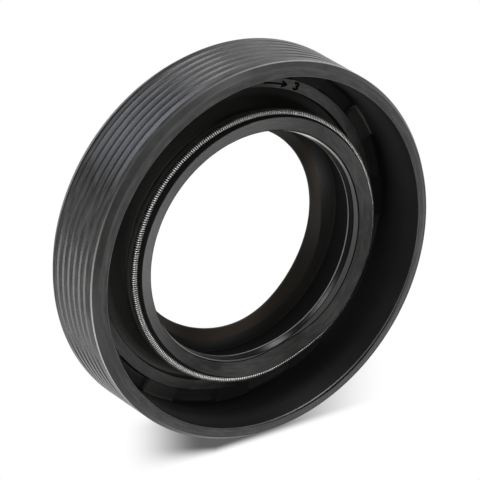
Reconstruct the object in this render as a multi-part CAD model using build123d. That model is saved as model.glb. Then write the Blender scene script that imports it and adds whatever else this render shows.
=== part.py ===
from build123d import *
import os
from math import cos, radians, sin

# A spring-loaded radial shaft seal, 35 x 56 x 12 mm, moulded in one piece of
# rubber with a dust lip, and the garter spring that loads its sealing lip.
# It lies on its flat air-side face: Z is the shaft's axis, Z = 0 is that
# face, and the spring side looks up. Sections are drawn as (radius, height).

# ---- the fits it is sold by (mm) --------------------------------------------
SHAFT_DIAMETER = 35.0          # shaft that runs in the lips
HOUSING_DIAMETER = 56.0        # bore that the ribbed rim is pressed into
WIDTH = 12.0                   # height of the rim along the shaft

# ---- rim: the press-fitted outside wall -------------------------------------
RIM_WALL_FRONT = 1.97          # wall thickness at the open, spring-side edge
RIM_WALL_FLOOR = 2.70          # wall thickness where it meets the cavity floor
RIM_EDGE_ROUND = 0.28          # inner edge of the open face
LEAD_IN_HEIGHT = 1.02          # chamfer along the axis, both ends
LEAD_IN_DEPTH = 0.63           # chamfer along the radius, both ends
LEAD_IN_ROUND = 0.10           # blend between a chamfer and an end face
SHOULDER_ROUND = 0.25          # blend between a chamfer and the ribbed surface

GROOVE_COUNT = 6               # rills around the press-fitted surface
GROOVE_PITCH = 1.355
GROOVE_FIRST = 2.30            # height of the lowest rill's centre
GROOVE_WIDTH = 0.52
GROOVE_DEPTH = 0.22            # of a rill's V

# ---- cavity floor: ring band, trough and locator pads -----------------------
FLOOR_HEIGHT = 3.45            # floor between the ring band and the rim
FLOOR_WIDTH = 1.89             # of that floor, on the radius
FLOOR_CORNER_ROUND = 1.10      # where the floor turns up into the rim
RING_RISE = 0.71               # flat top of the ring band above the floor
RING_WIDTH = 1.63              # of that flat top
RING_DRAFT = 0.16              # how far each side of the band runs out
RING_ROUND = 0.12
TROUGH_DROP = 0.25             # valley between ring band and web, below the floor

PAD_COUNT = 12                 # marks of the mould's locating studs
PAD_ANGLE = 13.0               # degrees of arc that one pad covers
PAD_RISE = 0.65                # above the floor
PAD_ROOTING = 0.45             # how far a pad runs into the rim's wall

# ---- sealing lip ------------------------------------------------------------
LIP_INTERFERENCE = 0.60        # how much smaller than the shaft, on the radius
LIP_HEIGHT = 7.60              # middle of the contact band
LIP_BAND = 0.26                # width of the contact band
FACET_LIFT = 0.95              # break between the two oil-side facets, above the band
FACET_RISE = 0.17              # how far that break stands back from the band
HEAD_INSET = 0.46              # lip head's inner edge, outside the band
HEAD_LIFT = 1.88               # the same edge, above the band
HEAD_WIDTH = 2.04              # head's front face, on the radius
HEAD_SLOPE = 0.74              # how much higher its outer edge is
HEAD_ROUND = 0.14

# ---- garter spring and the groove that holds it -----------------------------
SPRING_INSET = 2.82            # coil's centre line, outside the contact band
SPRING_LIFT = 1.39             # coil's centre line, above the contact band
SPRING_COIL_DIAMETER = 1.20
SPRING_CLEARANCE = 0.04        # between the coil and the groove's round floor
BEAD_OVERHANG = 0.33           # rear bead beyond the coil's centre line
BEAD_HEIGHT = 0.70             # thickness of the bead behind the coil
BEAD_ROUND = 0.12

# ---- flexing web between the flange and the lip head ------------------------
WEB_THICKNESS = 1.75           # at the waist, measured on the radius
WAIST_DROP = 1.30              # waist below the contact band
WEB_FOOT = 2.45                # web's thickness where it meets the trough
WEB_ROOT_ROUND = 0.70
CREASE_INSET = 1.20            # where the dust lip starts, outside the contact band
CREASE_HEIGHT = 3.04
CREASE_ROUND = 0.25

# ---- dust lip ---------------------------------------------------------------
DUST_INTERFERENCE = 2.50       # how much smaller than the shaft, on the radius
DUST_TIP_LOW = 0.80            # lower edge of the tip's narrow band
DUST_TIP_BAND = 0.35
DUST_SHOULDER_INSET = 1.40     # where the lip's top turns down, outside the tip
DUST_SHOULDER_HEIGHT = 2.76
DUST_ROOT_INSET = 0.50         # underside at the lip's root, inside the crease
DUST_ROOT_HEIGHT = 1.45
BACK_INSET = 0.35              # inner edge of the air-side face, outside the crease
BACK_EDGE_ROUND = 0.20

# ---- sizes that follow ------------------------------------------------------
outer_radius = HOUSING_DIAMETER / 2
lip_radius = SHAFT_DIAMETER / 2 - LIP_INTERFERENCE
dust_radius = SHAFT_DIAMETER / 2 - DUST_INTERFERENCE
rim_front_radius = outer_radius - RIM_WALL_FRONT
rim_floor_radius = outer_radius - RIM_WALL_FLOOR
ring_outer_radius = rim_floor_radius - FLOOR_WIDTH
ring_inner_radius = ring_outer_radius - RING_WIDTH
ring_height = FLOOR_HEIGHT + RING_RISE
trough_height = FLOOR_HEIGHT - TROUGH_DROP
pad_height = FLOOR_HEIGHT + PAD_RISE
lip_low = LIP_HEIGHT - LIP_BAND / 2
lip_high = LIP_HEIGHT + LIP_BAND / 2
head_inner_radius = lip_radius + HEAD_INSET
head_inner_height = LIP_HEIGHT + HEAD_LIFT
head_outer_radius = head_inner_radius + HEAD_WIDTH
head_outer_height = head_inner_height + HEAD_SLOPE
spring_radius = lip_radius + SPRING_INSET
spring_height = LIP_HEIGHT + SPRING_LIFT
waist_height = LIP_HEIGHT - WAIST_DROP
crease_radius = lip_radius + CREASE_INSET
web_root_radius = crease_radius + WEB_FOOT
dust_root_radius = crease_radius - DUST_ROOT_INSET
dust_shoulder_radius = dust_radius + DUST_SHOULDER_INSET
back_inner_radius = crease_radius + BACK_INSET
coil_radius = SPRING_COIL_DIAMETER / 2
seat_radius = coil_radius + SPRING_CLEARANCE
seat_low = spring_height - seat_radius
seat_high = spring_height + seat_radius
bead_radius = spring_radius + BEAD_OVERHANG


def web_inside(height):
    """Radius of the web's air-side cone at a height."""
    share = (height - CREASE_HEIGHT) / (lip_low - CREASE_HEIGHT)
    return crease_radius + share * (lip_radius - crease_radius)


def cavity_wall(height):
    """Radius of the rim's tapered inner wall at a height."""
    share = (height - FLOOR_HEIGHT) / (WIDTH - FLOOR_HEIGHT)
    return rim_floor_radius + share * (rim_front_radius - rim_floor_radius)


def face(*points):
    """Closed straight-sided face through (radius, height) points."""
    return make_face(Polyline(*points, close=True))


def round_corner(section, radius, height, round_radius):
    """Rounds the corner of a section that lies nearest to a given place."""
    place = Vector(radius, height)
    corner = min(section.vertices(), key=lambda v: (Vector(v.X, v.Y) - place).length)
    return fillet(corner, round_radius)


def rim_section():
    """Outside wall with its lead-in chamfers, rills and tapered cavity side."""
    wall = face(
        (rim_floor_radius, 0),
        (outer_radius - LEAD_IN_DEPTH, 0),
        (outer_radius, LEAD_IN_HEIGHT),
        (outer_radius, WIDTH - LEAD_IN_HEIGHT),
        (outer_radius - LEAD_IN_DEPTH, WIDTH),
        (rim_front_radius, WIDTH),
        (rim_floor_radius, FLOOR_HEIGHT),
    )
    for height in (0, WIDTH):
        wall = round_corner(wall, outer_radius - LEAD_IN_DEPTH, height, LEAD_IN_ROUND)
    for height in (LEAD_IN_HEIGHT, WIDTH - LEAD_IN_HEIGHT):
        wall = round_corner(wall, outer_radius, height, SHOULDER_ROUND)
    wall = round_corner(wall, rim_front_radius, WIDTH, RIM_EDGE_ROUND)
    rill = face(
        (outer_radius + GROOVE_DEPTH, GROOVE_WIDTH),
        (outer_radius, GROOVE_WIDTH / 2),
        (outer_radius - GROOVE_DEPTH, 0),
        (outer_radius, -GROOVE_WIDTH / 2),
        (outer_radius + GROOVE_DEPTH, -GROOVE_WIDTH),
    )
    for index in range(GROOVE_COUNT):
        wall -= Pos(0, GROOVE_FIRST + index * GROOVE_PITCH) * rill
    return wall


def flange_section():
    """Cavity floor: trough, raised ring band and the plain floor outside it."""
    return face(
        (back_inner_radius, 0),
        (rim_floor_radius, 0),
        (rim_floor_radius, FLOOR_HEIGHT),
        (ring_outer_radius + RING_DRAFT, FLOOR_HEIGHT),
        (ring_outer_radius, ring_height),
        (ring_inner_radius, ring_height),
        (ring_inner_radius - RING_DRAFT, trough_height),
        (web_root_radius, trough_height),
        (back_inner_radius, trough_height),
    )


def lip_section():
    """Flexing web with the lip head, its contact band and the spring's seat."""
    waist_radius = web_inside(waist_height) + WEB_THICKNESS
    head = face(
        (crease_radius, CREASE_HEIGHT),
        (lip_radius, lip_low),
        (lip_radius, lip_high),
        (lip_radius + FACET_RISE, LIP_HEIGHT + FACET_LIFT),
        (head_inner_radius, head_inner_height),
        (head_outer_radius, head_outer_height),
        (spring_radius, seat_high),
        (bead_radius, seat_low),
        (bead_radius, seat_low - BEAD_HEIGHT),
        (waist_radius, waist_height),
        (web_root_radius, trough_height),
        (web_root_radius, 0),
        (back_inner_radius, 0),
    )
    seat = Pos(spring_radius, spring_height) * Circle(seat_radius)
    mouth_depth = bead_radius + seat_radius - spring_radius
    mouth = Pos(spring_radius + mouth_depth / 2, spring_height) * Rectangle(
        mouth_depth, 2 * seat_radius
    )
    return head - (seat + mouth)


def dust_lip_section():
    """Thin secondary lip that reaches inward behind the sealing lip."""
    return face(
        (back_inner_radius, CREASE_HEIGHT),
        (crease_radius, CREASE_HEIGHT),
        (dust_shoulder_radius, DUST_SHOULDER_HEIGHT),
        (dust_radius, DUST_TIP_LOW + DUST_TIP_BAND),
        (dust_radius, DUST_TIP_LOW),
        (dust_root_radius, DUST_ROOT_HEIGHT),
        (back_inner_radius, 0),
    )


def body_section():
    """Whole moulded section, with the blends between its zones."""
    section = rim_section() + flange_section() + lip_section() + dust_lip_section()
    blends = (
        (rim_floor_radius, FLOOR_HEIGHT, FLOOR_CORNER_ROUND),
        (ring_outer_radius, ring_height, RING_ROUND),
        (ring_inner_radius, ring_height, RING_ROUND),
        (web_root_radius, trough_height, WEB_ROOT_ROUND),
        (head_outer_radius, head_outer_height, HEAD_ROUND),
        (head_inner_radius, head_inner_height, HEAD_ROUND),
        (bead_radius, seat_low, BEAD_ROUND),
        (bead_radius, seat_low - BEAD_HEIGHT, BEAD_ROUND),
        (crease_radius, CREASE_HEIGHT, CREASE_ROUND),
        (dust_root_radius, DUST_ROOT_HEIGHT, CREASE_ROUND),
        (back_inner_radius, 0, BACK_EDGE_ROUND),
    )
    for radius, height, round_radius in blends:
        section = round_corner(section, radius, height, round_radius)
    return section


def locator_pad():
    """One raised pad between the ring band and the rim, centred on +X."""
    inner = ring_outer_radius - RING_ROUND
    outer = cavity_wall(pad_height) + PAD_ROOTING
    half = radians(PAD_ANGLE / 2)
    plan = make_face(
        [
            RadiusArc((inner * cos(half), -inner * sin(half)), (inner * cos(half), inner * sin(half)), -inner),
            Line((inner * cos(half), inner * sin(half)), (outer * cos(half), outer * sin(half))),
            RadiusArc((outer * cos(half), outer * sin(half)), (outer * cos(half), -outer * sin(half)), outer),
            Line((outer * cos(half), -outer * sin(half)), (inner * cos(half), -inner * sin(half))),
        ]
    )
    sunk = FLOOR_HEIGHT / 2
    return Pos(0, 0, sunk) * extrude(plan, pad_height - sunk)


def turned(section):
    """Solid of revolution of a (radius, height) section about the shaft's axis."""
    return revolve(Plane.XZ * section, Axis.Z, 360)


def build_body():
    """Rubber moulding: turned section with its ring of locator pads."""
    body = turned(body_section())
    pad = locator_pad()
    for index in range(PAD_COUNT):
        body += Rot(0, 0, index * 360 / PAD_COUNT) * pad
    return body


def build_spring():
    """Garter spring as the smooth ring that its close-wound coil fills."""
    return turned(Pos(spring_radius, spring_height) * Circle(coil_radius))


PIECES = {"seal_body": build_body(), "garter_spring": build_spring()}

os.makedirs("parts", exist_ok=True)
for name, piece in PIECES.items():
    export_step(piece, f"parts/{name}.step")
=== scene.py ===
"""Looks of a radial shaft seal: moulded rubber body, wound garter spring, band marks and studio.

Lengths in the classes are millimetres and angles are degrees unless a docstring says otherwise.
Meshes are in metres, in the row frame, with Z along the shaft's axis and Z = 0 at the flat air-side
face.
"""

import logging
import math
from dataclasses import dataclass
from enum import Enum

import bpy
import numpy as np
from mathutils import Matrix, Vector

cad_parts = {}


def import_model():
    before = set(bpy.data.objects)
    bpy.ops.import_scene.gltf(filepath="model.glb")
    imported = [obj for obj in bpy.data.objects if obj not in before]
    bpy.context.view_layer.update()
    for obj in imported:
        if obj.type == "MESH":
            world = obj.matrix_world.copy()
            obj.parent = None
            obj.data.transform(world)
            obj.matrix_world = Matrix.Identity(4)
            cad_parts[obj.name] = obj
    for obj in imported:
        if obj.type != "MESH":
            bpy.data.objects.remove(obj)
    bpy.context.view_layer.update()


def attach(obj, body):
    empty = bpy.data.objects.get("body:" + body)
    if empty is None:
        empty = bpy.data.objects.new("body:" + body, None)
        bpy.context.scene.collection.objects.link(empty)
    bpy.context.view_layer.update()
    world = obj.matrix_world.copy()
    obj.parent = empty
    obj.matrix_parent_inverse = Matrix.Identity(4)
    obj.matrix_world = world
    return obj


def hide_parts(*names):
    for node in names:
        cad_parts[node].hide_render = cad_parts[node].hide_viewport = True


MM = 0.001
LOG = logging.getLogger("shaft_seal")

GRAIN_SCALE = 2.5 / MM  # the blasted tool's grain, 0.4 mm across
CLOUD_SCALE = 0.12 / MM  # slow change of shade and gloss, 8 mm across
STREAK_SCALE = 2.0 / MM  # streaks of bloom along the ring, 0.5 mm across
STREAK_CIRCLE = 4.0 * MM  # radius at which a streak's direction is read: more shortens the streaks
STREAK_RANGE = (0.42, 0.68)  # noise values between which a streak rises from none to full
CLOUD_RANGE = (0.35, 0.65)  # noise values between which the rubber turns from glossier to duller
GLOSS_SPREAD = 0.03  # roughness added and taken away by the clouds
SMEAR_GAIN, SMEAR_BASE = 0.8, 0.6  # how the grain breaks up the film and its painted light
GRAIN_BUMP = 0.25  # how strongly the grain catches the light
RUBBER_IOR = 1.52  # usual for nitrile rubber


def linear(hex_colour: str) -> tuple[float, float, float, float]:
    """Turns an sRGB hex colour into linear RGB with alpha 1.

    Args:
        hex_colour: six hex digits, with or without a leading hash.

    Returns:
        Linear red, green, blue and alpha.
    """
    digits = hex_colour.lstrip("#")
    srgb = np.array([int(digits[i : i + 2], 16) for i in (0, 2, 4)]) / 255.0
    rgb = np.where(srgb <= 0.04045, srgb / 12.92, ((srgb + 0.055) / 1.055) ** 2.4)
    return (float(rgb[0]), float(rgb[1]), float(rgb[2]), 1.0)


def add_node(tree: bpy.types.NodeTree, kind: str, settings: dict | None = None,
             **inputs: object) -> bpy.types.Node:
    """Adds one shader node with its settings, socket values and links.

    Args:
        tree: node tree that takes the node.
        kind: Blender's node type name.
        settings: node properties by name.
        inputs: numbers, colours, output sockets or nodes, whose first output is linked; by input
            name with spaces written as underscores, or in0, in1 and so on by index.

    Returns:
        The new node.
    """
    node = tree.nodes.new(kind)
    for name, value in (settings or {}).items():
        setattr(node, name, value)
    for name, value in inputs.items():
        if isinstance(value, bpy.types.Node):
            value = value.outputs[0]
        by_index = name[:2] == "in" and name[2:].isdigit()
        socket = node.inputs[int(name[2:])] if by_index else node.inputs[name.replace("_", " ")]
        if isinstance(value, bpy.types.NodeSocket):
            tree.links.new(value, socket)
        else:
            socket.default_value = value
    return node


def empty_material(name: str) -> bpy.types.Material:
    """Makes a material whose node tree is empty.

    Args:
        name: what the material is and how its surface was made.

    Returns:
        The new material.
    """
    material = bpy.data.materials.new(name)
    material.use_nodes = True
    material.node_tree.nodes.clear()
    return material


def mesh_object(name: str, points: np.ndarray, quads: np.ndarray,
                smooth: bool = True) -> bpy.types.Object:
    """Makes a linked mesh object from whole arrays.

    Args:
        name: object and mesh name.
        points: n by 3 array of places in metres.
        quads: m by 4 array of point indices, anticlockwise seen from outside.
        smooth: whether faces are shaded smooth.

    Returns:
        The new object, at the origin.
    """
    mesh = bpy.data.meshes.new(name)
    mesh.vertices.add(len(points))
    mesh.vertices.foreach_set("co", np.ascontiguousarray(points, dtype=np.float32).ravel())
    mesh.loops.add(quads.size)
    mesh.loops.foreach_set("vertex_index", np.ascontiguousarray(quads, dtype=np.int32).ravel())
    mesh.polygons.add(len(quads))
    mesh.polygons.foreach_set("loop_start", np.arange(0, quads.size, 4, dtype=np.int32))
    mesh.polygons.foreach_set("use_smooth", np.full(len(quads), smooth))
    mesh.update(calc_edges=True)
    mesh.validate()
    piece = bpy.data.objects.new(name, mesh)
    bpy.context.scene.collection.objects.link(piece)
    return piece


def point_values(piece: bpy.types.Object, name: str, values: np.ndarray) -> None:
    """Gives every point of a mesh its own number, which a material can read.

    Args:
        piece: mesh object.
        name: name of the attribute.
        values: one number a point, in the order of the points.
    """
    attribute = piece.data.attributes.new(name, "FLOAT", "POINT")
    attribute.data.foreach_set("value", values.astype(np.float32).ravel())


def grid_quads(rows: int, columns: int, wrap_rows: bool = False,
               wrap_columns: bool = False) -> np.ndarray:
    """Quad indices of a grid of points stored row by row.

    Args:
        rows: points along the first parameter.
        columns: points along the second parameter.
        wrap_rows: whether the last row joins the first.
        wrap_columns: whether the last column joins the first.

    Returns:
        An array of quads, each (i, j), (i + 1, j), (i + 1, j + 1), (i, j + 1).
    """
    i = np.arange(rows if wrap_rows else rows - 1)
    j = np.arange(columns if wrap_columns else columns - 1)
    i, j = (a.ravel() for a in np.meshgrid(i, j, indexing="ij"))
    i_next, j_next = (i + 1) % rows, (j + 1) % columns
    here, ahead = i * columns, i_next * columns
    return np.column_stack((here + j, ahead + j, ahead + j_next, here + j_next))


def ring_vector(tree: bpy.types.NodeTree, place: bpy.types.NodeSocket) -> bpy.types.NodeSocket:
    """Texture coordinates that draw a noise out into streaks along the ring.

    The first two are the direction from the axis, times the streak circle's radius, so they change
    slowly round the ring; the third is radius plus height, so it changes fast across it.

    Args:
        tree: node tree that takes the nodes.
        place: object coordinates.

    Returns:
        The coordinates.
    """
    flat = add_node(tree, "ShaderNodeVectorMath", {"operation": "MULTIPLY"}, in0=place,
                    in1=(1.0, 1.0, 0.0))
    spoke = add_node(tree, "ShaderNodeVectorMath", {"operation": "NORMALIZE"}, in0=flat)
    reach = add_node(tree, "ShaderNodeVectorMath", {"operation": "LENGTH"},
                     in0=flat).outputs["Value"]
    height = add_node(tree, "ShaderNodeSeparateXYZ", in0=place).outputs[2]
    across = add_node(tree, "ShaderNodeMath", {"operation": "ADD"}, in0=reach, in1=height)
    across = add_node(tree, "ShaderNodeCombineXYZ", Z=across)
    circle = (STREAK_CIRCLE, STREAK_CIRCLE, 0.0)
    turned = add_node(tree, "ShaderNodeVectorMath", {"operation": "MULTIPLY_ADD"}, in0=spoke,
                      in1=circle, in2=across)
    return turned.outputs[0]


class Zone(Enum):
    """Parts of the rubber skin, each with its own finish from the mould, the knife or wear; several
    also carry painted highlights, painted light or painted shade.
    """

    FACE = 0
    CHAMFER = 1
    LAND = 2
    FLANK = 3
    BACK = 4
    WALL = 5
    FLOOR = 6
    BAND = 7
    WEB = 8
    HEAD = 9
    BEVEL = 10
    EDGE = 11
    AIRSIDE = 12
    DUST_TOP = 13
    DUST_CONE = 14
    CUT = 15
    NECK = 16
    REAR = 17
    ROOT = 18


@dataclass(frozen=True)
class NitrileFinish:
    """Black nitrile rubber, compression moulded: a satin skin with the blasted tool's fine grain.

    The colour drifts in clouds towards the bloom's, and streaks of pale bloom run along the ring as
    strongly as fleck says. Where the point attribute for film and painted light rises to one, the
    skin carries dust, a painted highlight, a painted reflection or painted light in the shade, and
    takes the film's colour.
    """

    name: str
    colour: str
    bloom: str
    film_and_light: str = "#4a4a4a"
    roughness: float = 0.36
    specular: float = 0.4
    grain: float = 0.016
    fleck: float = 0.0
    fleck_colour: str = "#6e6c69"

    def material(self) -> bpy.types.Material:
        """Builds the rubber's node material on Object coordinates and the film attribute.

        Returns:
            The material.
        """
        material = empty_material(self.name)
        tree = material.node_tree
        place = add_node(tree, "ShaderNodeTexCoord").outputs["Object"]
        film_and_light = add_node(tree, "ShaderNodeAttribute", {"attribute_name": "film_and_light"}).outputs["Fac"]
        grain = add_node(tree, "ShaderNodeTexNoise", Vector=place, Scale=GRAIN_SCALE, Detail=3.0,
                         Roughness=0.6)
        cloud = add_node(tree, "ShaderNodeTexNoise", Vector=place, Scale=CLOUD_SCALE, Detail=3.0,
                         Roughness=0.55)
        streak = add_node(tree, "ShaderNodeTexNoise", Vector=ring_vector(tree, place),
                          Scale=STREAK_SCALE, Detail=3.0, Roughness=0.6)
        spots = add_node(tree, "ShaderNodeMapRange", Value=streak, From_Min=STREAK_RANGE[0],
                         From_Max=STREAK_RANGE[1], To_Min=0.0, To_Max=self.fleck)
        smear = add_node(tree, "ShaderNodeMath", {"operation": "MULTIPLY_ADD"}, in0=grain,
                         in1=SMEAR_GAIN, in2=SMEAR_BASE)
        film_and_light_share = add_node(tree, "ShaderNodeMath", {"operation": "MULTIPLY", "use_clamp": True},
                          in0=film_and_light, in1=smear)
        tint = linear(self.colour)
        for share, colour in ((cloud, self.bloom), (spots, self.fleck_colour), (film_and_light_share, self.film_and_light)):
            mixed = add_node(tree, "ShaderNodeMix", {"data_type": "RGBA"}, in0=share, in6=tint,
                             in7=linear(colour))
            tint = mixed.outputs[2]
        gloss = add_node(tree, "ShaderNodeMapRange", Value=cloud, From_Min=CLOUD_RANGE[0],
                         From_Max=CLOUD_RANGE[1], To_Min=self.roughness - GLOSS_SPREAD,
                         To_Max=self.roughness + GLOSS_SPREAD)
        bump = add_node(tree, "ShaderNodeBump", Strength=GRAIN_BUMP, Distance=self.grain * MM,
                        Height=grain)
        shader = add_node(tree, "ShaderNodeBsdfPrincipled", Base_Color=tint, Roughness=gloss,
                          IOR=RUBBER_IOR, Specular_IOR_Level=self.specular, Normal=bump)
        add_node(tree, "ShaderNodeOutputMaterial", Surface=shader)
        return material


RUBBER: dict[Zone, NitrileFinish] = {
    # satin, an even dark grey with faint streaks of bloom
    Zone.FACE: NitrileFinish("rubber_front_face", "#060606", "#0e0e0e", roughness=0.31,
                             specular=0.25, fleck=0.20),
    # a little duller than the face; its near-white film paints highlights along its edges
    Zone.CHAMFER: NitrileFinish("rubber_rim_chamfer", "#0c0c0c", "#151515", "#c4c2be",
                                roughness=0.40, specular=0.29, fleck=0.08),
    # smooth from the mould wall, streaked with bloom; its film is a painted reflection of a window
    Zone.LAND: NitrileFinish("rubber_rib_land", "#0a0a0b", "#131314", "#686b74", roughness=0.28,
                             specular=0.235, fleck=0.32),
    # glossy, so that each rill draws a thin bright line
    Zone.FLANK: NitrileFinish("rubber_rill_flank", "#080808", "#101010", roughness=0.28,
                              specular=0.77),
    # dull and plain
    Zone.BACK: NitrileFinish("rubber_back_face", "#0d0d0d", "#161616", roughness=0.60,
                             specular=0.115),
    # the softest change from black to grey in the part
    Zone.WALL: NitrileFinish("rubber_cavity_wall", "#171717", "#1e1e1e", "#424242", roughness=0.41,
                             specular=0.36),
    # matt black; grey dust on the scuffed pads, and painted light in the shade of the floor and the
    # band's foot
    Zone.FLOOR: NitrileFinish("rubber_cavity_floor", "#101010", "#161616", "#757472",
                              roughness=0.60, specular=0.09),
    # smoother and a little browner than the floor beside it
    Zone.BAND: NitrileFinish("rubber_ring_band", "#181716", "#22211f", roughness=0.33,
                             specular=0.18, fleck=0.20),
    # a lighter grey than the rest of the rubber: painted light, so that it stays grey in deep shade
    Zone.WEB: NitrileFinish("rubber_lip_web", "#3c3b3a", "#464544", "#9a9996", roughness=0.60,
                            specular=0.15),
    # the glossiest broad surface, which mirrors the lamps in one soft sweep
    Zone.HEAD: NitrileFinish("rubber_lip_head", "#0a0a0a", "#161514", "#2b2620", roughness=0.36,
                             specular=0.59, fleck=0.15),
    # cut by the knife: hardly any gloss, with pale patches of painted highlight
    Zone.BEVEL: NitrileFinish("rubber_trimmed_bevel", "#121212", "#1a1919", "#b8b5b5",
                              roughness=0.45, specular=0.03),
    # a lighter colour with a near-white film: painted highlights, thin light lines along edges
    Zone.EDGE: NitrileFinish("rubber_painted_edge_highlight", "#262626", "#343333", "#e2e0dd", roughness=0.34,
                             specular=0.55),
    # dark and without gloss
    Zone.AIRSIDE: NitrileFinish("rubber_lip_air_side", "#151515", "#1d1d1d", roughness=0.60,
                                specular=0.005),
    # dark, slightly brown
    Zone.DUST_TOP: NitrileFinish("rubber_dust_lip_top", "#1b1a19", "#242322", roughness=0.60,
                                 specular=0.08),
    # brown, a painted warm light, with a greasy half gloss
    Zone.DUST_CONE: NitrileFinish("rubber_dust_lip_cone", "#100f0c", "#1a1712", "#3b2f24",
                                  roughness=0.44, specular=0.13),
    # black hairlines: between the lip's trimmed surfaces, beside the rim's inner edge and above the
    # rear chamfer
    Zone.CUT: NitrileFinish("rubber_black_hairline", "#050505", "#090909", roughness=0.70,
                            specular=0.02),
    # dark and matt: painted shade in the gap between the head and the spring
    Zone.NECK: NitrileFinish("rubber_spring_side", "#121214", "#1a1a1c", "#19191a", roughness=0.60,
                             specular=0.03),
    # like the web, a lighter grey that paints light into the recess's deep shade, paler still
    # beside the band
    Zone.ROOT: NitrileFinish("rubber_web_root", "#1c1b1a", "#242322", "#7a7977", roughness=0.60,
                             specular=0.03),
    # dull, with a painted highlight where it meets the outside wall
    Zone.REAR: NitrileFinish("rubber_rear_chamfer", "#0d0d0d", "#161616", "#a8a69f", roughness=0.60,
                             specular=0.115),
}


@dataclass(frozen=True)
class SpringWireFinish:
    """Cold-drawn spring steel wire: bright outside each turn, with painted shade between the turns.

    The point attribute "crest" is one along the outside of the coil and zero on the wire's sides
    and inside, where the colour darkens as painted shade.
    """

    name: str = "drawn_spring_steel"
    colour: str = "#f4f3f0"
    # painted shade on the wire's sides and inside, between the turns
    side_shade: str = "#2a2826"
    roughness: float = 0.36
    smoother: float = 0.06
    rougher: float = 0.10
    cloud_per_mm: float = 0.6

    def material(self) -> bpy.types.Material:
        """Builds the wire's node material on Object coordinates and the crest attribute.

        Returns:
            The material.
        """
        material = empty_material(self.name)
        tree = material.node_tree
        place = add_node(tree, "ShaderNodeTexCoord").outputs["Object"]
        crest = add_node(tree, "ShaderNodeAttribute", {"attribute_name": "crest"}).outputs["Fac"]
        cloud = add_node(tree, "ShaderNodeTexNoise", Vector=place, Scale=self.cloud_per_mm / MM,
                         Detail=2.0)
        gloss = add_node(tree, "ShaderNodeMapRange", Value=cloud, From_Min=0.3, From_Max=0.7,
                         To_Min=self.roughness - self.smoother,
                         To_Max=self.roughness + self.rougher)
        steel = add_node(tree, "ShaderNodeMix", {"data_type": "RGBA"}, in0=crest,
                         in6=linear(self.side_shade), in7=linear(self.colour))
        shader = add_node(tree, "ShaderNodeBsdfPrincipled", Base_Color=steel.outputs[2],
                          Metallic=1.0, Roughness=gloss)
        add_node(tree, "ShaderNodeOutputMaterial", Surface=shader)
        return material


def swell(angle: np.ndarray, centre: float, width: float) -> np.ndarray:
    """A smooth hump on the ring, one at its centre.

    Its height is e to the power of minus the square of the distance from its centre over its width.

    Args:
        angle: ring angles in radians.
        centre: where the hump is one, in degrees.
        width: degrees from there to where it has fallen to about a third.

    Returns:
        The hump's height at each angle, 0 to 1.
    """
    away = (np.degrees(angle) - centre + 180.0) % 360.0 - 180.0
    return np.exp(-((away / width) ** 2))


class Around:
    """A value that varies round the ring: a base plus humps of a height, a centre and a width."""

    def __init__(self, base: float, *humps: tuple[float, float, float]) -> None:
        """Keeps the base and the humps."""
        self.base = base
        self.humps = humps

    def at(self, angle: np.ndarray) -> np.ndarray:
        """The value on the ring: the base plus every hump's height times its swell.

        Args:
            angle: ring angles in radians.

        Returns:
            The value at each angle.
        """
        value = np.full_like(angle, self.base)
        for height, centre, width in self.humps:
            value = value + height * swell(angle, centre, width)
        return value


@dataclass(frozen=True)
class SpringSeat:
    """Where the garter spring and its seat lie: off centre, and squeezed in at two places."""

    radius: float = 19.72
    height: float = 8.99
    squeezed: Around = Around(0.0, (0.34, 292.0, 15.0), (0.11, 236.0, 36.0))
    offset: float = 0.10
    offset_angle: float = 121.3

    def radius_at(self, angle: np.ndarray) -> np.ndarray:
        """Distance of the spring's centre line from the axis.

        It is the ring's radius less what it is squeezed in, plus the offset times the cosine of the
        angle from the offset's direction on that side of the ring.

        Args:
            angle: ring angles in radians.

        Returns:
            The distance at each angle.
        """
        outward = np.maximum(np.cos(angle - math.radians(self.offset_angle)), 0.0)
        return self.radius - self.squeezed.at(angle) + self.offset * outward


@dataclass
class Corner:
    """One corner of the turned section: its place, its blend and the zone of the surface after it.

    A blend belongs half to the surface before it and half to the one after it, unless turn names
    its own zone.

    The radius, height, blend and film may each be one number or an array with a value for every
    ring angle.
    """

    radius: float | np.ndarray
    height: float | np.ndarray
    zone: Zone
    blend: float | np.ndarray = 0.0
    steps: int = 0
    film_and_light: float | np.ndarray = 0.0
    turn: Zone | None = None


@dataclass(frozen=True)
class Wander:
    """How the section departs from the CAD's, round the ring."""

    # heights: the lip's edge and the knife line above it
    lip: Around = Around(7.60, (-0.28, 280.0, 20.0), (0.15, 330.0, 40.0), (0.20, 35.0, 35.0))
    cut: Around = Around(8.50, (0.18, 350.0, 25.0), (0.36, 32.0, 20.0))
    # shares: how much of the bevel is trimmed, and where the dust lip's slope starts and ends
    trim: Around = Around(1.0, (-0.57, 250.0, 40.0), (-0.70, 288.0, 16.0), (0.06, 345.0, 26.0))
    dust_tip: Around = Around(0.0, (0.28, 283.0, 30.0))
    dust_shoulder: Around = Around(1.0, (-0.34, 10.0, 26.0))
    # widths: the groove above the bevel, the nick in the head and the wear of the rim's inner edge
    groove: Around = Around(0.01, (0.09, 20.0, 50.0))
    nick: Around = Around(0.0, (0.38, 292.0, 17.0), (0.46, 226.0, 36.0), (-0.22, 82.0, 32.0))
    worn_rim: Around = Around(0.0, (0.13, 341.0, 22.0))
    # degrees from the outward direction at which the spring's seat begins
    opening: Around = Around(94.0, (-14.0, 135.0, 30.0), (28.0, 222.0, 45.0))
    # blends of the rim's edges, the crown's place and the two dark lines beside the rim's edges
    rim_blend: Around = Around(0.22, (-0.12, 320.0, 45.0))
    crown_blend: Around = Around(0.08, (-0.06, 317.0, 70.0))
    crown: Around = Around(0.0, (0.09, 317.0, 70.0))
    face_line: Around = Around(0.01, (0.28, 304.0, 28.0))
    rear_line: Around = Around(0.01, (0.20, 139.0, 32.0))


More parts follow.
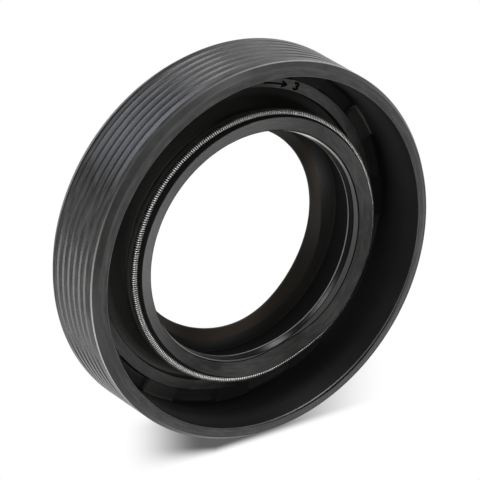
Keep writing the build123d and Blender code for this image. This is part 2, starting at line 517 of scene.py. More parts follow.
@dataclass(frozen=True)
class WearAndPaintedLight:
    """Where dust and painted light lie round the ring: 1 is the film's full colour."""

    # painted warm light: the brown film on the dust lip's tip
    dust_tip: Around = Around(0.0, (0.8, 283.0, 30.0))
    # painted highlight: a light line along the dust lip's shoulder
    dust_shoulder: Around = Around(0.0, (0.5, 264.0, 20.0), (0.8, 18.0, 14.0))
    # painted highlights: thin bright lines along the lip's edge
    lip: Around = Around(0.08, (0.10, 284.0, 12.0), (0.08, 330.0, 30.0), (0.5, 58.0, 9.0),
                         (0.10, 200.0, 24.0))
    # painted highlights: pale patches on the trimmed bevel
    bevel: Around = Around(0.0, (0.50, 286.0, 6.0), (0.30, 317.0, 9.0), (1.0, 60.0, 6.0),
                           (0.55, 205.0, 22.0))
    # painted highlight along the knife's upper line
    cut: Around = Around(0.0, (0.04, 0.0, 30.0), (0.25, 42.0, 14.0), (1.0, 60.0, 7.0))
    head: Around = Around(0.0, (1.0, 184.0, 22.0))
    # painted highlight along the web's lower corner
    web: Around = Around(0.0, (0.30, 195.0, 26.0), (0.15, 85.0, 22.0))
    # painted light in the deep shade of the recess and up the ring band's inner side
    root: Around = Around(0.14, (0.27, 192.0, 26.0), (-0.13, 65.0, 20.0))
    band_side: Around = Around(0.14, (0.27, 192.0, 26.0), (-0.13, 65.0, 20.0), (0.40, 236.0, 28.0))
    # painted light on the shaded floor and at the ring band's foot
    floor: Around = Around(0.0, (0.05, 235.0, 42.0))
    floor_haze: Around = Around(0.0, (0.14, 318.0, 60.0))
    band_foot: Around = Around(0.0, (0.20, 216.0, 18.0))
    pad: Around = Around(0.0, (0.14, 30.0, 12.0), (0.10, 228.0, 24.0))
    pad_end: Around = Around(0.0, (0.7, 30.0, 10.0), (0.25, 235.0, 20.0), (0.25, 60.0, 10.0))
    wall: Around = Around(0.0, (0.9, 51.3, 36.0), (1.0, 230.0, 36.0))
    # painted highlight along the rim's inner edge
    rim: Around = Around(0.0, (0.30, 290.0, 13.0))
    face_line: Around = Around(0.12, (0.70, 342.0, 40.0))
    # painted highlights along the rim's outer edges: beside the crown, on it and at the chamfer's
    # foot
    face_edge: Around = Around(0.0, (0.24, 138.0, 75.0))
    crown: Around = Around(0.03, (0.10, 111.0, 35.0))
    chamfer_foot: Around = Around(0.0, (0.75, 196.0, 30.0), (0.60, 68.0, 34.0))
    # painted reflection of a window on the lands and the rills' flanks
    land: Around = Around(0.0, (0.85, 127.0, 15.0 * math.sqrt(2.0)))
    land_top: Around = Around(0.0, (0.40, 136.0, 11.0))
    # painted highlight on the rear chamfer
    rear: Around = Around(0.0, (1.0, 141.0, 30.0))
    # ring angle at which the painted reflection on the lands ends, and how softly
    land_end: float = 146.0
    land_fade: float = 2.0


@dataclass
class RubberBody:
    """The one-piece moulding as a dense turned skin whose section varies round the ring.

    The section is the CAD part's. Round the ring the trimmed lip wanders, the head is nicked inward
    beside the spring, the seat opens more or less, the dust lip's tip is worn, the rim's inner edge
    is worn at one place, and the cavity floor steps up into the mould's locator pads.
    """

    node: str = "seal_body"
    wander: Wander = Wander()
    wear_and_light: WearAndPaintedLight = WearAndPaintedLight()
    seat: SpringSeat = SpringSeat()
    outer: float = 28.0
    width: float = 12.0
    # dust lip: radius and height of its tip, the tip's land, the run and climb of its slope
    dust_radius: float = 15.0
    dust_height: float = 1.15
    dust_land: float = 0.35
    dust_run: float = 1.40
    dust_climb: float = 1.61
    lip_root: tuple[float, float] = (18.10, 3.04)
    # sealing lip: its radius and the places of its five corners from there, outward and up; the
    # bevel's lean outward for each millimetre up; where the knife's lines cross the bevel
    lip_radius: float = 16.90
    lip_places: tuple[tuple[float, float], ...] = (
        (0.012, -0.18), (0.0, -0.13), (0.0, 0.11), (0.05, 0.15), (0.03, 0.22))
    bevel_lean: float = 0.31
    cut_radius: float = 17.04
    cut_height: float = 8.50
    cut_line: float = 0.11
    trim_radius: float = 17.06
    trim_height: float = 8.52
    trim_low: float = 8.55
    trim_climb: float = 0.93
    # head: its edge beside the spring, and how far that drops for each millimetre of nick
    head_radius: float = 19.40
    head_height: float = 10.22
    nick_drop: float = 0.36
    # spring's seat: its radius, the number of its corners and where it ends
    seat_radius: float = 0.64
    seat_corners: int = 9
    seat_end: float = 260.0
    # web: its outside below the seat, how far that follows the seat, and its curve down to the
    # recess; then the recess and the ring band
    web_radius: float = 20.05
    web_heights: tuple[float, float] = (8.35, 7.65)
    web_follow: float = 0.3
    web_waist: tuple[float, float] = (18.96, 6.30)
    web_root: tuple[float, float] = (19.16, 5.90)
    recess_radius: float = 20.55
    recess_height: float = 3.20
    band_inner: float = 21.78
    band_outer: float = 23.41
    band_height: float = 4.16
    # cavity floor from the ring band out to the wall, and how far a locator pad shifts its corners
    floor_height: float = 3.45
    floor_steps: tuple[float, ...] = (0.16, 0.34, 0.49)
    pad_shifts: tuple[float, ...] = (-0.10, 1.27, 1.36, 0.055)
    wall_foot: float = 25.30
    wall_blend: float = 1.10
    wall_low: tuple[float, float] = (25.51, 5.90)
    pads: int = 12
    pad_half: float = 6.5
    pad_rise: float = 0.65
    pad_blend: float = 0.06
    pad_sides: tuple[float, ...] = (-0.16, -0.05, 0.05, 0.16)
    pad_clear: float = 0.1
    haze_on_pads: float = 0.4
    # rim: inner edge of its face and the dark line beside it, the tool line round it, chamfers
    face_inner: float = 26.03
    face_line: tuple[float, float] = (0.17, 0.20)
    tool_line: tuple[float, float, float] = (26.80, 27.02, 27.22)
    chamfer_in: float = 0.63
    chamfer_down: float = 1.02
    # outside wall: top of its lands, where their sheen starts, the line above the rear chamfer, the
    # back face's inner edge and the cone beyond it, the rills
    land_top: float = 10.62
    sheen_top: tuple[float, float] = (10.22, 10.10)
    rear_line: float = 1.46
    back_inner: float = 18.45
    back_cone: tuple[float, float] = (17.60, 1.45)
    rills: int = 6
    rill_pitch: float = 1.355
    rill_first: float = 2.30
    rill_half: float = 0.26
    rill_depth: float = 0.22
    # mesh: step round the ring, room that a blend may take of a side, and the support points beside
    # a sharp corner
    column_step: float = 1.2
    blend_share: float = 0.45
    support: float = 0.03
    support_share: float = 0.2
    support_below: float = 150.0

    def angles(self) -> np.ndarray:
        """Places of the skin's columns: one every step, and four more close round each pad's sides.

        Returns:
            Ring angles in radians, in order.
        """
        even = np.arange(0.0, 360.0, self.column_step) + self.column_step / 2
        middles = np.arange(self.pads) * 360.0 / self.pads
        sides = (middles[:, None] + np.array([-1, 1]) * self.pad_half).ravel()
        near = (sides[:, None] + np.array(self.pad_sides)).ravel() % 360.0
        away = np.abs((even[:, None] - near[None, :] + 180.0) % 360.0 - 180.0).min(axis=1)
        return np.radians(np.sort(np.concatenate((even[away > self.pad_clear], near))))

    def on_pad(self, angle: np.ndarray) -> np.ndarray:
        """Tells the locator pads from the floor between them.

        Args:
            angle: ring angles in radians.

        Returns:
            One where an angle lies on a pad, zero elsewhere.
        """
        pitch = 360.0 / self.pads
        away = np.abs((np.degrees(angle) + pitch / 2) % pitch - pitch / 2)
        return (away < self.pad_half).astype(float)

    def dust_lip(self, angle: np.ndarray) -> list[Corner]:
        """Corners from the dust lip's tip up its slope to the root between the two lips.

        Args:
            angle: ring angles in radians.

        Returns:
            The corners in order.
        """
        wander, wear_and_light = self.wander, self.wear_and_light
        tip, shoulder = wander.dust_tip.at(angle), wander.dust_shoulder.at(angle)
        tip_radius = self.dust_radius + self.dust_run * tip
        tip_height = self.dust_height + self.dust_climb * tip
        tip_warm_light = wear_and_light.dust_tip.at(angle)
        return [
            Corner(tip_radius, tip_height - self.dust_land, Zone.DUST_CONE, film_and_light=tip_warm_light),
            Corner(tip_radius, tip_height, Zone.DUST_CONE, 0.06, 2, film_and_light=tip_warm_light),
            # the shoulder's film is a painted highlight
            Corner(self.dust_radius + self.dust_run * shoulder,
                   self.dust_height + self.dust_climb * shoulder,
                   Zone.DUST_TOP, 0.10, 3, film_and_light=wear_and_light.dust_shoulder.at(angle)),
            Corner(*self.lip_root, Zone.AIRSIDE, 0.25, 3),
        ]

    def sealing_lip(self, angle: np.ndarray) -> list[Corner]:
        """Corners of the lip's edge, its bevel with the knife's lines, and the head.

        Args:
            angle: ring angles in radians.

        Returns:
            The corners in order.
        """
        wander, wear_and_light = self.wander, self.wear_and_light
        lip = [(self.lip_radius + out, wander.lip.at(angle) + up) for out, up in self.lip_places]
        cut, groove = wander.cut.at(angle), wander.groove.at(angle)
        cut_top = cut + self.cut_line
        trim = np.maximum(cut_top + 0.03, self.trim_low + self.trim_climb * wander.trim.at(angle))
        low = self.cut_radius + self.bevel_lean * (cut - self.cut_height)
        high = self.trim_radius + self.bevel_lean * (trim - self.trim_height)
        nick = wander.nick.at(angle)
        # painted highlights: thin bright lines at the lip's edge and the knife's upper line, pale
        # patches on the bevel
        lip_highlight, bevel_highlight = wear_and_light.lip.at(angle), wear_and_light.bevel.at(angle)
        cut_highlight = wear_and_light.cut.at(angle)
        return [
            Corner(*lip[0], Zone.AIRSIDE),
            Corner(*lip[1], Zone.EDGE, 0.03, 1, film_and_light=lip_highlight),
            Corner(*lip[2], Zone.CUT, film_and_light=lip_highlight),
            Corner(*lip[3], Zone.CUT),
            Corner(*lip[4], Zone.BEVEL, film_and_light=bevel_highlight),
            Corner(low, cut, Zone.CUT, film_and_light=bevel_highlight),
            Corner(low + 0.10, cut + 0.03, Zone.CUT),
            Corner(low + 0.04, cut_top, Zone.EDGE, film_and_light=cut_highlight),
            Corner(high, trim, Zone.CUT, 0.02, 1, film_and_light=cut_highlight),
            Corner(high + 0.06 + groove, trim + 0.03 - 0.3 * groove, Zone.CUT),
            Corner(high + 0.10 + groove, trim + 0.06, Zone.HEAD),
            Corner(self.head_radius - nick, self.head_height - self.nick_drop * nick, Zone.NECK,
                   0.10, 3, film_and_light=wear_and_light.head.at(angle), turn=Zone.NECK),
        ]

    def spring_seat(self, angle: np.ndarray) -> list[Corner]:
        """Corners on the seat's circle, from its opening round under the spring.

        Args:
            angle: ring angles in radians.

        Returns:
            The corners in order.
        """
        opening, radius = self.wander.opening.at(angle), self.seat.radius_at(angle)
        turns = [np.radians(opening + share * (self.seat_end - opening))
                 for share in np.linspace(0.0, 1.0, self.seat_corners)]
        out, up = self.seat_radius * np.cos(turns), self.seat_radius * np.sin(turns)
        return [Corner(radius + x, self.seat.height + y, Zone.WEB) for x, y in zip(out, up)]

    def web(self, angle: np.ndarray) -> list[Corner]:
        """Corners down the flexing web, across the recess and up to the ring band.

        Args:
            angle: ring angles in radians.

        Returns:
            The corners in order.
        """
        wear_and_light = self.wear_and_light
        # painted light in the shade of the recess and beside the band
        root, side = wear_and_light.root.at(angle), wear_and_light.band_side.at(angle)
        follow = self.web_follow * (self.seat.radius_at(angle) - self.seat.radius)
        high, low = self.web_heights
        return [
            Corner(self.web_radius + follow, high, Zone.WEB, 0.12, 2),
            Corner(self.web_radius, low, Zone.WEB, 0.12, 2, film_and_light=wear_and_light.web.at(angle)),
            Corner(*self.web_waist, Zone.WEB, 0.5, 3),
            Corner(*self.web_root, Zone.ROOT, film_and_light=root),
            Corner(self.recess_radius, self.recess_height, Zone.ROOT, 0.70, 4, film_and_light=root),
            Corner(self.band_inner - 0.16, self.recess_height, Zone.ROOT, film_and_light=side),
            Corner(self.band_inner - 0.03, self.band_height - 0.18, Zone.ROOT, film_and_light=side),
            Corner(self.band_inner, self.band_height, Zone.BAND, 0.12, 2),
            Corner(self.band_outer, self.band_height, Zone.FLOOR, 0.10, 2),
        ]

    def cavity(self, angle: np.ndarray) -> list[Corner]:
        """Corners of the cavity floor, which steps up on the pads, and of the cavity wall.

        Args:
            angle: ring angles in radians.

        Returns:
            The corners in order.
        """
        wear_and_light, pad = self.wear_and_light, self.on_pad(angle)
        haze = wear_and_light.floor_haze.at(angle) * (1.0 - (1.0 - self.haze_on_pads) * pad)
        # dust on the pads, with painted light on the shaded floor and at the band's foot
        dust_and_light = np.maximum(pad * wear_and_light.pad.at(angle), haze) + wear_and_light.floor.at(angle)
        foot = dust_and_light + wear_and_light.band_foot.at(angle)
        scuff_and_light = dust_and_light + pad * wear_and_light.pad_end.at(angle)
        floor = self.floor_height + self.pad_rise * pad
        blend = self.wall_blend - (self.wall_blend - self.pad_blend) * pad
        places = [self.band_outer + step for step in self.floor_steps] + [self.wall_foot]
        near, middle, far, wall = (x + y * pad for x, y in zip(places, self.pad_shifts))
        return [
            Corner(near, floor, Zone.FLOOR, film_and_light=foot),
            Corner(middle, floor, Zone.FLOOR, film_and_light=foot),
            Corner(far, floor, Zone.FLOOR, film_and_light=scuff_and_light),
            Corner(wall, floor, Zone.WALL, blend, 5, film_and_light=scuff_and_light),
            Corner(*self.wall_low, Zone.WALL, film_and_light=wear_and_light.wall.at(angle)),
        ]

    def rim(self, angle: np.ndarray) -> list[Corner]:
        """Corners of the rim's front face with its tool lines, and of the chamfer beside it.

        Args:
            angle: ring angles in radians.

        Returns:
            The corners in order.
        """
        wander, wear_and_light, top = self.wander, self.wear_and_light, self.width
        inner = self.face_inner + wander.worn_rim.at(angle)
        # painted highlights along the rim's edges, in the film of the inner edge, the crown and the
        # chamfer's foot
        edge, foot = wear_and_light.face_edge.at(angle), wear_and_light.chamfer_foot.at(angle)
        crown = self.outer - self.chamfer_in
        dark_start, dark_end = (inner + step for step in self.face_line)
        line_start, line_middle, line_end = self.tool_line
        return [
            Corner(inner, top, Zone.FACE, wander.rim_blend.at(angle), 4, film_and_light=wear_and_light.rim.at(angle),
                   turn=Zone.EDGE),
            Corner(dark_start, top, Zone.FACE),
            Corner(dark_end, top, Zone.CUT),
            Corner(dark_end + wander.face_line.at(angle), top, Zone.FACE),
            Corner(line_start, top, Zone.FACE),
            Corner(line_middle, top, Zone.FACE, film_and_light=wear_and_light.face_line.at(angle)),
            Corner(line_end, top, Zone.FACE, film_and_light=edge),
            Corner(crown - 0.07, top, Zone.FACE, film_and_light=edge),
            Corner(crown + wander.crown.at(angle), top, Zone.CHAMFER,
                   wander.crown_blend.at(angle), 2, film_and_light=wear_and_light.crown.at(angle)),
            Corner(crown + 0.07, top - 0.11, Zone.CHAMFER),
            Corner(self.outer - 0.06, top - self.chamfer_down + 0.10, Zone.CHAMFER),
            Corner(self.outer, top - self.chamfer_down, Zone.CHAMFER, 0.06, 2, film_and_light=foot),
            Corner(self.outer, self.land_top + 0.14, Zone.CHAMFER, film_and_light=foot),
        ]

    def outside(self, angle: np.ndarray) -> list[Corner]:
        """Corners down the outside wall with its rills, of the rear chamfer and of the back face.

        Args:
            angle: ring angles in radians.

        Returns:
            The corners in order.
        """
        wear_and_light = self.wear_and_light
        end = 1.0 / (1.0 + np.exp((np.degrees(angle) - wear_and_light.land_end) / wear_and_light.land_fade))
        # a painted reflection of a window, laid into the film of the lands and rills
        sheen, sheen_top = wear_and_light.land.at(angle) * end, wear_and_light.land_top.at(angle) * end
        corners = [
            Corner(self.outer, self.land_top, Zone.LAND),
            Corner(self.outer, self.sheen_top[0], Zone.LAND),
            Corner(self.outer, self.sheen_top[1], Zone.LAND, film_and_light=sheen),
        ]
        for index in reversed(range(self.rills)):
            middle = self.rill_first + index * self.rill_pitch
            corners += [
                Corner(self.outer, middle + self.rill_half, Zone.FLANK, 0.08, 2, film_and_light=sheen),
                Corner(self.outer - self.rill_depth, middle, Zone.FLANK),
                Corner(self.outer, middle - self.rill_half, Zone.LAND, 0.08, 2, film_and_light=sheen_top),
            ]
        return corners + [
            Corner(self.outer, self.rear_line, Zone.CUT),
            Corner(self.outer, self.rear_line - self.wander.rear_line.at(angle), Zone.LAND),
            Corner(self.outer, self.chamfer_down, Zone.REAR, 0.12, 3, film_and_light=wear_and_light.rear.at(angle)),
            Corner(self.outer - self.chamfer_in, 0.0, Zone.BACK, 0.10, 2),
            Corner(self.back_inner, 0.0, Zone.BACK, 0.20, 3),
            Corner(*self.back_cone, Zone.DUST_CONE, 0.25, 3),
        ]

    def corners(self, angle: np.ndarray) -> list[Corner]:
        """Corners of the section, from the dust lip's tip over the sealing lip and out to the rim.

        Args:
            angle: ring angles in radians.

        Returns:
            The corners in order, so that the surface between them faces outward.
        """
        parts = (self.dust_lip, self.sealing_lip, self.spring_seat, self.web, self.cavity, self.rim,
                 self.outside)
        return [corner for part in parts for corner in part(angle)]

    def section(self, angle: np.ndarray) -> tuple[np.ndarray, np.ndarray, np.ndarray]:
        """Blends the corners into a closed run of points.

        A blend of radius b between two straight sides that meet at an angle f starts b / tan(f / 2)
        from the corner on each side, about a centre b / sin(f / 2) from it on the line that halves
        the angle. Its points turn evenly from one side's normal to the other's. A point on each
        side close beside it keeps the straight part flat in shading.

        Args:
            angle: ring angles in radians.

        Returns:
            Places with one row a point, one column an angle, and radius and height last; film
            values with one row a point and one column an angle; and each row's zone.
        """
        corners = self.corners(angle)
        places = [np.broadcast_arrays(c.radius, c.height, angle)[:2] for c in corners]
        places = np.stack([np.stack(place, axis=-1) for place in places])
        rows, films_and_light, zones = [], [], []
        for index, corner in enumerate(corners):
            here = places[index]
            back, ahead = places[index - 1] - here, places[(index + 1) % len(corners)] - here
            back_length = np.linalg.norm(back, axis=-1, keepdims=True)
            ahead_length = np.linalg.norm(ahead, axis=-1, keepdims=True)
            back, ahead = back / back_length, ahead / ahead_length
            half = np.arccos(np.clip((back * ahead).sum(axis=-1, keepdims=True), -1.0, 1.0)) / 2
            blend = np.broadcast_to(np.asarray(corner.blend, dtype=float), angle.shape)[:, None]
            room = self.blend_share * np.minimum(back_length, ahead_length)
            start = np.minimum(blend / np.tan(half), room)
            blend = start * np.tan(half)
            if corner.steps:
                middle = (back + ahead) / np.linalg.norm(back + ahead, axis=-1, keepdims=True)
                centre = here + middle * (blend / np.sin(half))
                first, last = here + back * start - centre, here + ahead * start - centre
                sweep = np.pi - 2 * half
                shares = np.linspace(0.0, 1.0, corner.steps + 1)
                run = [centre + (np.sin((1 - t) * sweep) * first + np.sin(t * sweep) * last)
                       / np.sin(sweep) for t in shares]
            else:
                run = [here]
            beside = start + np.minimum(self.support, self.support_share * room)
            if 2 * half.min() < math.radians(self.support_below):
                run = [here + back * beside] + run + [here + ahead * beside]
            rows += run
            films_and_light += [np.broadcast_to(np.asarray(corner.film_and_light, dtype=float), angle.shape)] * len(run)
            before = corners[index - 1].zone
            split = (len(run) + 1) // 2
            if corner.turn is None:
                zones += [before] * (split - 1) + [corner.zone] * (len(run) - split + 1)
            else:
                zones += [before] + [corner.turn] * (len(run) - 3) + [corner.zone] * 2
        return np.stack(rows), np.stack(films_and_light), np.array([zone.value for zone in zones])

    def build(self) -> bpy.types.Object:
        """Turns the section round the axis and gives each zone its rubber.

        Returns:
            The closed skin that stands for the CAD moulding.
        """
        angle = self.angles()
        rows, films_and_light, zones = self.section(angle)
        reach, height = rows[..., 0], rows[..., 1]
        points = np.stack((reach * np.cos(angle), reach * np.sin(angle), height), axis=-1)
        quads = grid_quads(len(rows), len(angle), wrap_rows=True, wrap_columns=True)
        skin = mesh_object("moulded_body", points.reshape(-1, 3) * MM, quads)
        point_values(skin, "film_and_light", films_and_light)
        for zone in Zone:
            skin.data.materials.append(RUBBER[zone].material())
        skin.data.polygons.foreach_set("material_index",
                                       np.repeat(zones, len(angle)).astype(np.int32))
        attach(skin, "root")
        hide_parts(self.node)
        return skin


@dataclass
class GarterSpring:
    """Close-wound coil spring joined into a ring, which loads the sealing lip."""

    node: str = "garter_spring"
    seat: SpringSeat = SpringSeat()
    coil_diameter: float = 1.20
    wire_diameter: float = 0.26
    turns: int = 385
    first_phase: float = -90.0
    steps_per_turn: int = 14
    wire_sides: int = 6
    crest_gain: float = 2.0
    crest_start: float = 0.9
    finish: SpringWireFinish = SpringWireFinish()

    def coil_line(self, angle: np.ndarray) -> tuple[np.ndarray, np.ndarray]:
        """Centre line of the wire.

        The wire runs on a torus, wound left-handed. At ring angle a its coil phase is the first
        phase minus turns times a. Its distance from the axis is the seat's radius there plus the
        coil's mean radius times the cosine of the phase, and its height is the seat's height plus
        the mean radius times the sine.

        Args:
            angle: ring angles in radians.

        Returns:
            The places, and the outward directions from the coil's own centre line.
        """
        mean = (self.coil_diameter - self.wire_diameter) / 2
        phase = math.radians(self.first_phase) - angle * self.turns
        radial = np.column_stack((np.cos(angle), np.sin(angle), np.zeros_like(angle)))
        up = np.array([0.0, 0.0, 1.0])
        outward = np.cos(phase)[:, None] * radial + np.sin(phase)[:, None] * up
        centre = self.seat.radius_at(angle)[:, None] * radial + self.seat.height * up
        return centre + mean * outward, outward

    def build(self) -> bpy.types.Object:
        """Sweeps the wire's round section along the coil.

        At each point of the centre line the section is a circle in the plane of the outward
        direction and of the direction square to both it and the line; the ends join after a whole
        number of turns. The crest value is the gain times the cosine of the angle from outward,
        less its start, kept between 0 and 1.

        Returns:
            The coil as one closed mesh that stands for the CAD ring.
        """
        count = self.turns * self.steps_per_turn
        angle = np.linspace(0.0, 2 * np.pi, count, endpoint=False)
        line, outward = self.coil_line(angle)
        along = np.roll(line, -1, axis=0) - np.roll(line, 1, axis=0)
        along /= np.linalg.norm(along, axis=1)[:, None]
        side = np.cross(along, outward)
        side /= np.linalg.norm(side, axis=1)[:, None]
        turn = np.linspace(0.0, 2 * np.pi, self.wire_sides, endpoint=False)
        cosine, sine = np.cos(turn)[None, :, None], np.sin(turn)[None, :, None]
        ring = cosine * outward[:, None, :] + sine * side[:, None, :]
        points = (line[:, None, :] + ring * self.wire_diameter / 2).reshape(-1, 3) * MM
        quads = grid_quads(count, self.wire_sides, wrap_rows=True, wrap_columns=True)
        coil = mesh_object("garter_coil", points, quads)
        crest = np.clip(self.crest_gain * np.cos(turn) - self.crest_start, 0.0, 1.0)
        point_values(coil, "crest", np.tile(crest, count))
        coil.data.materials.append(self.finish.material())
        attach(coil, "root")
        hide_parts(self.node)
        return coil


@dataclass
class BandMarks:
    """Turning arrow and mould cavity number on the ring band, as thin strokes.

    A stroke's points are millimetres on the band: first along it, clockwise seen from above, then
    outward.
    """

    band_height: float = 4.16
    radius: float = 22.48
    stroke_width: float = 0.33
    rise: float = 0.03
    sunk: float = 0.01
    flat_share: float = 0.7
    arrow_angle: float = 73.1
    arrow_length: float = 4.08
    arrow_rise: float = 0.03
    barb_back: float = 0.92
    barb_spread: float = 0.42
    number_angle: float = 63.7
    number_height: float = 0.92
    number_width: float = 0.74
    number_out: float = 0.16
    number_stroke: float = 0.42
    bowl_reach: float = 160.0
    finish: NitrileFinish = NitrileFinish("rubber_band_mark", "#070707", "#0c0c0c", roughness=0.60,
                                          specular=0.02)

    def stroke(self, path: np.ndarray, angle: float, width: float) -> tuple[np.ndarray, np.ndarray]:
        """Sweeps a flat-topped section along a path on the band.

        Args:
            path: n by 2 places on the band, along and outward, about the mark's middle.
            angle: ring angle of the mark's middle in degrees.
            width: the stroke's width.

        Returns:
            Places in millimetres and quads, with both ends closed.
        """
        along = np.gradient(path, axis=0)
        along /= np.linalg.norm(along, axis=1)[:, None]
        across = np.column_stack((-along[:, 1], along[:, 0]))
        side = width / 2 * np.array([-1.0, -self.flat_share, self.flat_share, 1.0])
        height = self.band_height + np.array([-self.sunk, self.rise, self.rise, -self.sunk])
        flat = path[:, None, :] + across[:, None, :] * side[None, :, None]
        turn = math.radians(angle) - flat[..., 0] / self.radius
        reach = self.radius + flat[..., 1]
        height = np.broadcast_to(height, turn.shape)
        places = np.stack((reach * np.cos(turn), reach * np.sin(turn), height), axis=-1)
        last = 4 * (len(path) - 1)
        quads = np.vstack((grid_quads(len(path), 4, wrap_columns=True), [[0, 1, 2, 3]],
                           [[last + 3, last + 2, last + 1, last]]))
        return places.reshape(-1, 3), quads

    def arrow(self) -> list[np.ndarray]:
        """Paths of the arrow: a shaft that ends at the tip, and two barbs.

        Returns:
            The three paths.
        """
        tip = np.array([self.arrow_length / 2, self.arrow_rise])
        shaft = np.linspace((-self.arrow_length / 2, 0.0), tip, 12)
        barbs = [(self.barb_back, side * self.barb_spread) for side in (-1, 1)]
        return [shaft] + [np.linspace(tip - barb, tip, 4) for barb in barbs]

    def number(self) -> list[np.ndarray]:
        """Path of the figure 3: two bowls, each most of an ellipse, that meet at its waist.

        Returns:
            The one path, in a list.
        """
        bowl_width, bowl_height = self.number_width / 2, self.number_height / 4
        upper = np.radians(np.linspace(self.bowl_reach, -90.0, 12))
        lower = np.radians(np.linspace(90.0, -self.bowl_reach, 12))[1:]
        turn = np.concatenate((upper, lower))
        middle = np.concatenate((np.full(len(upper), bowl_height),
                                 np.full(len(lower), -bowl_height)))
        outward = self.number_out + middle + bowl_height * np.sin(turn)
        return [np.column_stack((bowl_width * np.cos(turn), outward))]

    def build(self) -> bpy.types.Object:
        """Joins the strokes into one mesh.

        Returns:
            The marks.
        """
        marks = [(path, self.arrow_angle, self.stroke_width) for path in self.arrow()]
        marks += [(path, self.number_angle, self.number_stroke) for path in self.number()]
        places, quads, count = [], [], 0
        for path, angle, width in marks:
            stroke_places, stroke_quads = self.stroke(path, angle, width)
            places.append(stroke_places)
            quads.append(stroke_quads + count)
            count += len(stroke_places)
        piece = mesh_object("band_marks", np.vstack(places) * MM, np.vstack(quads), smooth=False)
        piece.data.materials.append(self.finish.material())
        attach(piece, "root")
        return piece


@dataclass(frozen=True)
class Softbox:
    """One rectangular lamp: its direction, its size and its power in watts."""

    name: str
    azimuth: float
    elevation: float
    size: tuple[float, float]
    power: float


@dataclass(frozen=True)
class Table:
    """White table: white to every ray that looks at it, with a soft shade beside the seal's rim.

    The shade is full between the first numbers of its ranges and gone at the second. Along Y it
    grows from a soft slanted side to a straighter edge away from the seal, both given as a start
    and a change for each step in X.
    """

    size: float = 4000.0
    below: float = 0.02
    shade_x: tuple[tuple[float, float], ...] = ((-2.2, -16.0), (6.0, 30.0))
    shade_y: tuple[float, float] = (-29.0, -26.0)
    soft_start: float = -34.8
    soft_slope: float = -0.25
    edge_start: float = -36.25
    edge_slope: float = 0.03
    paint: float = 0.80
    shade: float = 0.14

    def cover(self, tree: bpy.types.NodeTree) -> bpy.types.NodeSocket:
        """How full the shade is at a place on the table, as the product of four smooth ramps.

        Args:
            tree: node tree that takes the nodes.

        Returns:
            The share of shade, 0 to 1.
        """
        place = add_node(tree, "ShaderNodeTexCoord").outputs["Object"]
        x, y, _ = add_node(tree, "ShaderNodeSeparateXYZ", in0=place).outputs
        line, larger = {"operation": "MULTIPLY_ADD"}, {"operation": "MAXIMUM"}
        start, end = self.soft_start * MM, self.edge_start * MM
        slanted = add_node(tree, "ShaderNodeMath", line, in0=x, in1=self.soft_slope, in2=start)
        straight = add_node(tree, "ShaderNodeMath", line, in0=x, in1=self.edge_slope, in2=start)
        soft = add_node(tree, "ShaderNodeMath", larger, in0=slanted, in1=straight)
        edge = add_node(tree, "ShaderNodeMath", line, in0=x, in1=self.edge_slope, in2=end)
        edge = add_node(tree, "ShaderNodeMath", larger, in0=edge, in1=end)
        ramps = [(x, full * MM, gone * MM) for full, gone in self.shade_x]
        ramps += [(y, soft, edge), (y, self.shade_y[0] * MM, self.shade_y[1] * MM)]
        cover = 1.0
        for value, full, gone in ramps:
            ramp = add_node(tree, "ShaderNodeMapRange", {"interpolation_type": "SMOOTHSTEP"},
                            Value=value, From_Min=full, From_Max=gone, To_Min=1.0, To_Max=0.0)
            cover = add_node(tree, "ShaderNodeMath", {"operation": "MULTIPLY"}, in0=cover, in1=ramp)
        return cover.outputs[0]

    def material(self) -> bpy.types.Material:
        """Pale paint for the light that bounces to the seal, white and the shade for what looks on.

        Returns:
            The material.
        """
        material = empty_material("white_table")
        tree = material.node_tree
        paint = add_node(tree, "ShaderNodeBsdfDiffuse",
                         Color=(self.paint, self.paint, self.paint, 1.0))
        shade = add_node(tree, "ShaderNodeBsdfDiffuse",
                         Color=(self.shade, self.shade, self.shade, 1.0))
        glow = add_node(tree, "ShaderNodeEmission", Strength=1.0)
        path = add_node(tree, "ShaderNodeLightPath").outputs
        seen = path["Is Camera Ray"]
        for other in (path["Is Glossy Ray"], path["Is Transmission Ray"]):
            seen = add_node(tree, "ShaderNodeMath", {"operation": "MAXIMUM"}, in0=seen, in1=other)
        shown = add_node(tree, "ShaderNodeMixShader", in0=self.cover(tree), in1=glow, in2=shade)
        mixed = add_node(tree, "ShaderNodeMixShader", in0=seen, in1=paint, in2=shown)
        add_node(tree, "ShaderNodeOutputMaterial", Surface=mixed)
        return material

    def build(self) -> bpy.types.Object:
        """Lays the table just under the seal.

        Returns:
            The table.
        """
        half = self.size / 2
        places = np.array([[-half, -half], [half, -half], [half, half], [-half, half]])
        points = np.column_stack((places, np.full(4, -self.below))) * MM
        floor = mesh_object("table", points, np.array([[0, 1, 2, 3]]), smooth=False)
        floor.data.materials.append(self.material())
        return floor


def direction(azimuth: float, elevation: float) -> Vector:
    """Unit vector from the seal towards an azimuth and elevation in degrees."""
    a, e = math.radians(azimuth), math.radians(elevation)
    return Vector((math.cos(a) * math.cos(e), math.sin(a) * math.cos(e), math.sin(e)))


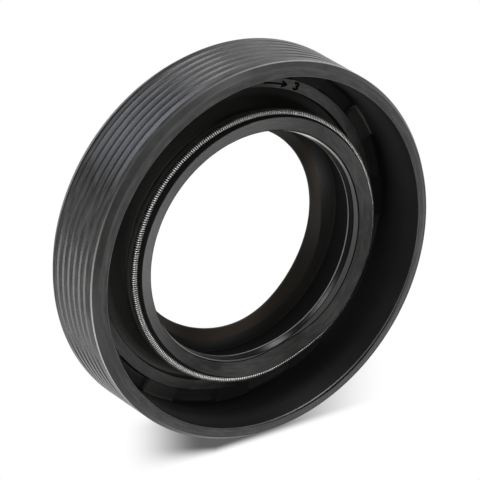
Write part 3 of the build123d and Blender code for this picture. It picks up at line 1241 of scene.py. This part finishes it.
@dataclass
class Studio:
    """White table, a tent of soft lamps and the camera."""

    camera_azimuth: float = 141.30
    camera_elevation: float = 49.096
    camera_roll: float = 121.915
    camera_distance: float = 707.396
    camera_target: tuple[float, float, float] = (-0.2286, -0.0820, 5.8898)
    lens: float = 379.584
    sensor: float = 36.0
    clip: tuple[float, float] = (50.0, 20000.0)
    table: Table = Table()
    lamp_distance: float = 700.0
    lamp_aim: float = 6.0
    lamps: tuple[Softbox, ...] = (
        Softbox("far_low", 81.3, 10.0, (300.0, 260.0), 1.53),
        Softbox("side_low", 51.3, 10.0, (300.0, 260.0), 0.58),
        Softbox("near_low", 126.3, 10.0, (600.0, 260.0), 1.25),
        Softbox("left_low", 216.3, 10.0, (500.0, 260.0), 1.30),
        Softbox("left_high", 201.3, 32.0, (300.0, 260.0), 1.40),
        Softbox("right_high", 66.3, 30.0, (300.0, 200.0), 0.50),
        Softbox("left_front", 176.3, 37.0, (200.0, 200.0), 0.28),
        Softbox("left_side", 229.3, 25.0, (200.0, 200.0), 0.30),
        Softbox("front_low", 171.3, 12.0, (300.0, 260.0), 0.25),
        Softbox("crown", 141.3, 56.0, (200.0, 150.0), 0.60),
        Softbox("zenith", 141.3, 88.0, (300.0, 300.0), 0.22),
        Softbox("side_back_low", 281.3, 10.0, (300.0, 260.0), 0.20),
        Softbox("back_high", 321.3, 32.0, (400.0, 260.0), 1.60),
        Softbox("back_top", 306.3, 55.0, (600.0, 260.0), 0.87),
        Softbox("right_top", 21.3, 52.0, (300.0, 260.0), 0.50),
        Softbox("back_low", 341.3, 10.0, (500.0, 260.0), 0.45),
    )

    def add_lamp(self, box: Softbox) -> bpy.types.Object:
        """Adds a softbox that faces the seal.

        Args:
            box: direction, size and power.

        Returns:
            The lamp.
        """
        data = bpy.data.lights.new(box.name, "AREA")
        data.shape = "RECTANGLE"
        data.size, data.size_y = box.size[0] * MM, box.size[1] * MM
        data.energy = box.power
        lamp = bpy.data.objects.new(box.name, data)
        bpy.context.scene.collection.objects.link(lamp)
        away = direction(box.azimuth, box.elevation)
        lamp.location = Vector((0, 0, self.lamp_aim * MM)) + away * self.lamp_distance * MM
        lamp.rotation_euler = away.to_track_quat("Z", "Y").to_euler()
        return lamp

    def add_camera(self) -> bpy.types.Object:
        """Adds the long-lens camera that looks down on the seal, rolled about its own axis.

        Returns:
            The camera.
        """
        away = direction(self.camera_azimuth, self.camera_elevation)
        upright = away.to_track_quat("Z", "Y").to_matrix()
        roll = Matrix.Rotation(math.radians(self.camera_roll), 3, "Z")
        data = bpy.data.cameras.new("camera")
        data.lens, data.sensor_width = self.lens, self.sensor
        data.clip_start, data.clip_end = self.clip[0] * MM, self.clip[1] * MM
        camera = bpy.data.objects.new("camera", data)
        bpy.context.scene.collection.objects.link(camera)
        place = Vector(self.camera_target) * MM + away * self.camera_distance * MM
        camera.matrix_world = Matrix.Translation(place) @ (upright @ roll).to_4x4()
        bpy.context.scene.camera = camera
        return camera

    def build(self) -> None:
        """Sets the camera, the table, the lamps and the world, which gives no light of its own."""
        self.add_camera()
        self.table.build()
        for box in self.lamps:
            self.add_lamp(box)
        world = bpy.data.worlds.new("studio")
        world.use_nodes = True
        tree = world.node_tree
        tree.nodes.clear()
        sky = add_node(tree, "ShaderNodeBackground", Color=(1.0, 1.0, 1.0, 1.0), Strength=0.0)
        add_node(tree, "ShaderNodeOutputWorld", Surface=sky)
        bpy.context.scene.world = world
        bpy.context.scene.view_settings.view_transform = "Standard"


def main() -> None:
    logging.basicConfig(level=logging.INFO, format="%(name)s: %(message)s")
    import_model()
    Studio().build()
    skin = RubberBody().build()
    LOG.info("built %s with %d faces", skin.name, len(skin.data.polygons))
    coil = GarterSpring().build()
    LOG.info("built %s with %d faces", coil.name, len(coil.data.polygons))
    marks = BandMarks().build()
    LOG.info("built %s with %d faces", marks.name, len(marks.data.polygons))


if __name__ == "__main__":
    main()
